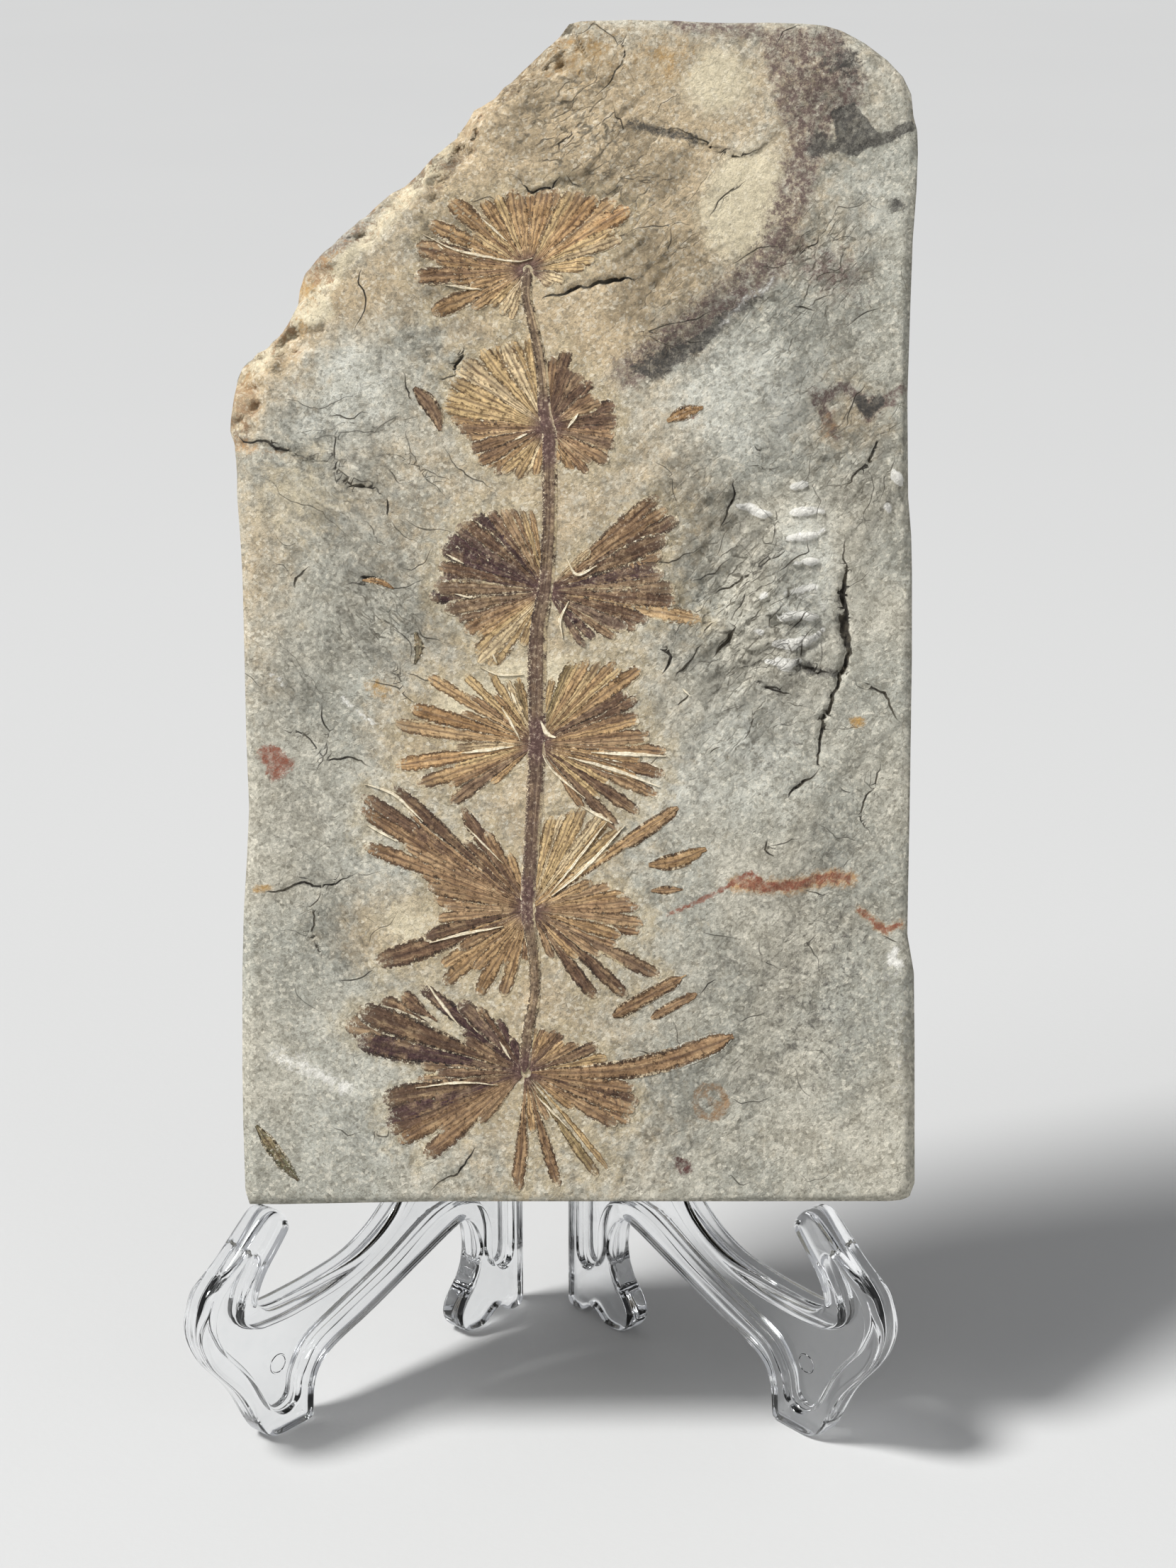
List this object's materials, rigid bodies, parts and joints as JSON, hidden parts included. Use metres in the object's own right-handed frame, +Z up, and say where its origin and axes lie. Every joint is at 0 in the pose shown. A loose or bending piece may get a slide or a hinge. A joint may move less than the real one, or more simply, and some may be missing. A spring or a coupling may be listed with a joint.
{
  "type": "fossil plant plate",
  "caption": "Flat stone slab with a whorled fossil plant on its front, leaning on a clear folding plastic display stand.",
  "frame": {"origin": "on the table, under the middle of the whole object's box", "axes": "+Z up; the slab's fossil face and the stand's hooks face -Y; +X to the right of someone looking at the fossil"},
  "size_m": [0.0982, 0.0688, 0.1854],
  "materials": {
    "siltstone": "split bedding face, matt and slightly rough, stained tan, with grey-green ground and brown plant film",
    "plant_film": "thin brown to purple-brown carbon and iron film on the stone, slightly glossy",
    "clear_plastic": "clear moulded polystyrene, glossy"
  },
  "bodies": {
    "left_half": {"stand_left": "clear_plastic", "slab": "siltstone"},
    "right_half": {"stand_right": "clear_plastic"}
  },
  "joints": [
    {"name": "fold", "type": "hinge", "parent": "left_half", "child": "right_half", "pos_m": [-0.00119, 0.01506, 0.05], "axis": [0, 0, -1], "range_deg": [0, 84]}
  ]
}
